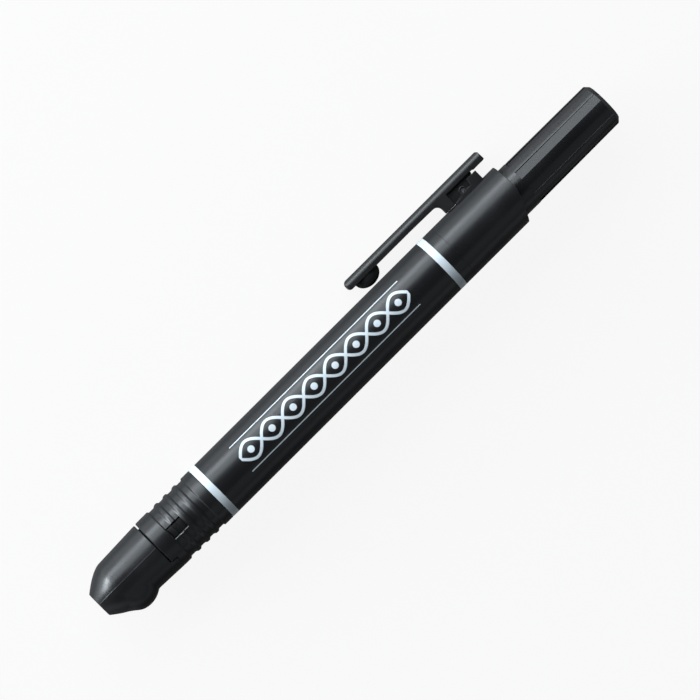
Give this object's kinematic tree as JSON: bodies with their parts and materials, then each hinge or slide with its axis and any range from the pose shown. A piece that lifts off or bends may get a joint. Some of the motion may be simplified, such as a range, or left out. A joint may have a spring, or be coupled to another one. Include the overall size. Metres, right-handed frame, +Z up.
{
  "type": "retractable permanent marker",
  "caption": "Slim black retractable marker: a knock button pushes the nib out through a nose whose sealing shutter swings open, and a hinged sprung clip.",
  "frame": {"origin": "centre of the bounding box's bottom face, under the pen as it lies on its barrel and on the nearer edge of its clip", "axes": "+X along the pen from the nose to the knock button, +Y across it towards the clip side, +Z up from the surface that it lies on"},
  "size_m": [0.145, 0.0182, 0.013],
  "materials": {
    "housing_black": "satin moulded black plastic",
    "barrel_black": "glossy black tube with printed silver design",
    "button_black": "glossy moulded black plastic",
    "clip_black": "satin moulded black plastic",
    "steel": "plain spring steel",
    "white_plastic": "natural white moulded plastic",
    "seal_rubber": "soft black rubber",
    "ink_fibre": "ink-soaked felt fibre"
  },
  "bodies": {
    "housing": {"nose_shell": "housing_black", "grip_sleeve": "housing_black", "barrel_tube": "barrel_black", "rear_collar": "housing_black", "shutter_chamber": "white_plastic", "shutter_gasket": "seal_rubber", "front_spring": "steel", "clip_pin": "steel", "clip_spring": "steel"},
    "knock": {"knock_button": "button_black", "cam_rotor": "white_plastic", "reservoir_plug": "white_plastic", "reservoir_tube": "white_plastic", "ink_core": "ink_fibre", "nib_holder": "white_plastic", "neck_seal": "seal_rubber", "nib": "ink_fibre", "return_spring": "steel"},
    "carrier": {"shutter_carrier": "white_plastic"},
    "lid": {"shutter_lid": "white_plastic"},
    "clip": {"clip": "clip_black"}
  },
  "joints": [
    {"name": "knock_slide", "type": "slide", "parent": "housing", "child": "knock", "axis": [-1, 0, 0], "range_m": [0, 0.012], "stiffness_N_per_m": 250, "springref_m": -0.006, "deforming": ["return_spring"]},
    {"name": "carrier_slide", "type": "slide", "parent": "housing", "child": "carrier", "axis": [-1, 0, 0], "range_m": [0, 0.0029], "deforming": ["front_spring"]},
    {"name": "lid_hinge", "type": "hinge", "parent": "housing", "child": "lid", "pos_m": [-0.0648, -0.00195, 0.0065], "axis": [0, 0.4134, 0.9105], "range_deg": [0, 96.5]},
    {"name": "clip_hinge", "type": "hinge", "parent": "housing", "child": "clip", "pos_m": [0.0392, 0.00498, 0.00336], "axis": [0, -0.4134, -0.9105], "range_deg": [0, 6.5], "stiffness_Nm_per_rad": 0.25, "springref_deg": -17.19, "deforming": ["clip_spring"]}
  ],
  "couplings": [
    {"joint": "carrier_slide", "follows": "knock_slide", "ratio": 0.23533},
    {"joint": "lid_hinge", "follows": "knock_slide", "rad_per_m": 139.63}
  ]
}
